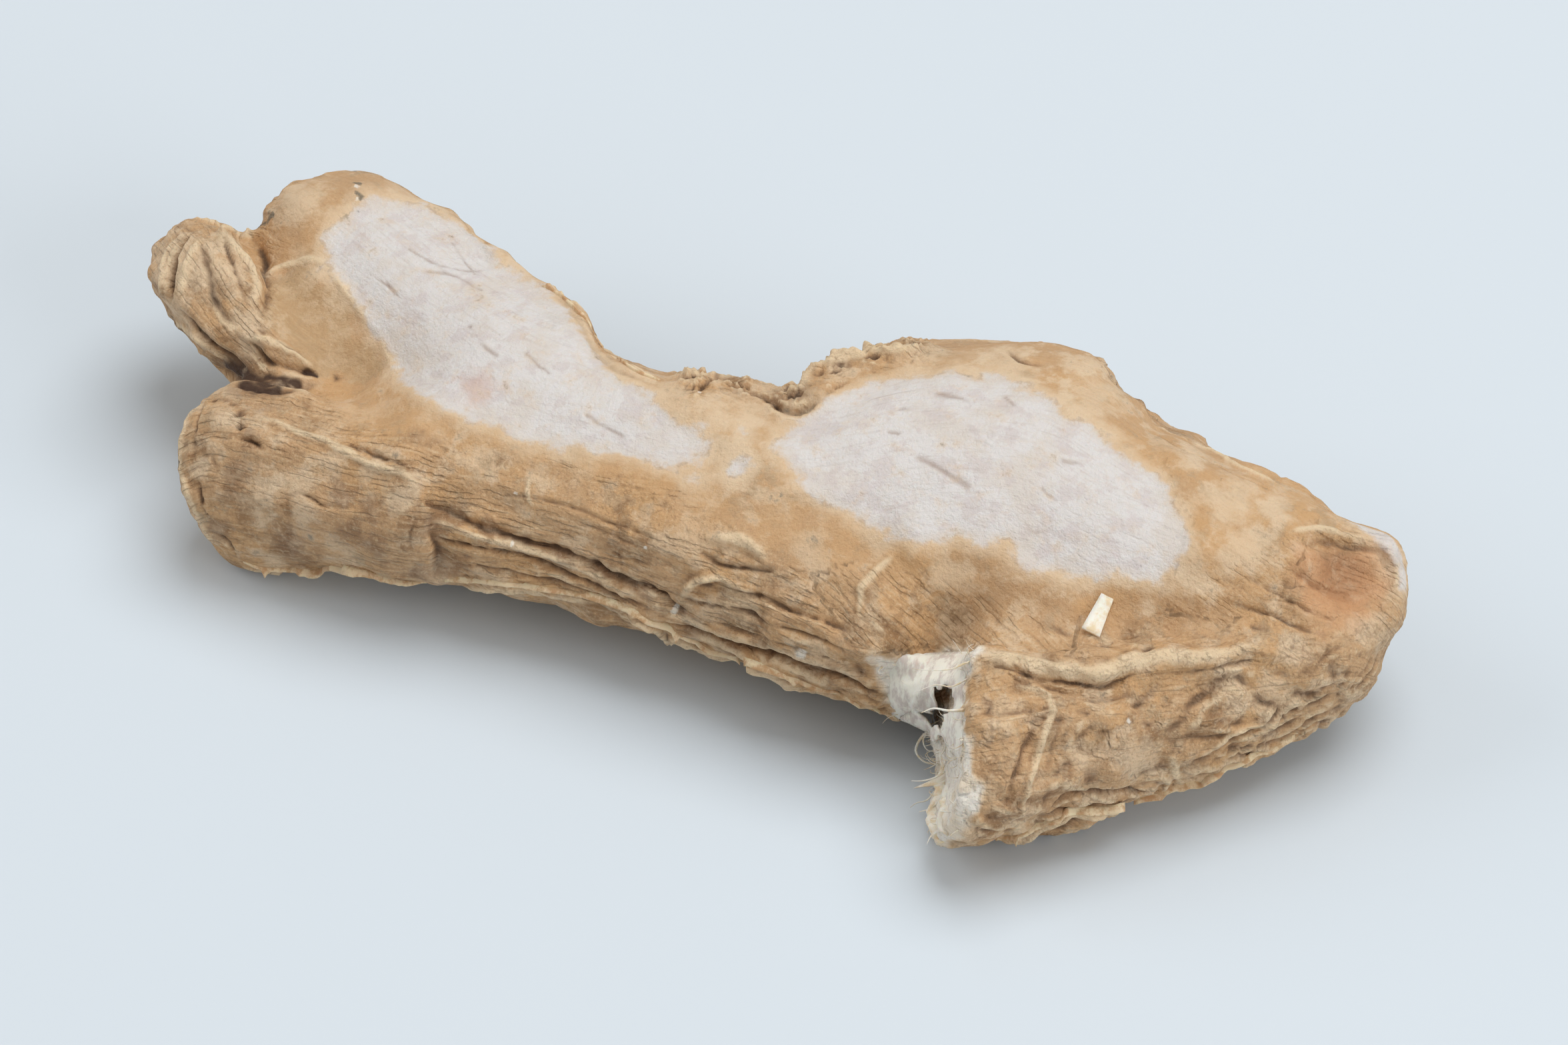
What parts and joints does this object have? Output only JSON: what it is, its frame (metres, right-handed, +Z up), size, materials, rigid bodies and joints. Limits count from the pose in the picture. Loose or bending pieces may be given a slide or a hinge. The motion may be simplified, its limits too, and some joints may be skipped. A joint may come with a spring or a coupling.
{
  "type": "dried ginger root",
  "caption": "Dried ginger rhizome piece with forked fingers, a rolled bud and a snapped stump; a whole spice for steeping, simmering or grating.",
  "frame": {"origin": "middle of the bounding box's underside, in the plane of the three worn flats that it stands on", "axes": "+X along the main axis from the forked end towards the socket end, +Z up as it lies; the snapped stump is on the -Y side"},
  "size_m": [0.0903, 0.0465, 0.0181],
  "materials": {
    "ginger_skin": "matte dried tan skin, shrivelled in lengthwise ridges, with pale scraped patches and a white fibrous break"
  },
  "bodies": {
    "root": {"rhizome": "ginger_skin"}
  },
  "joints": []
}
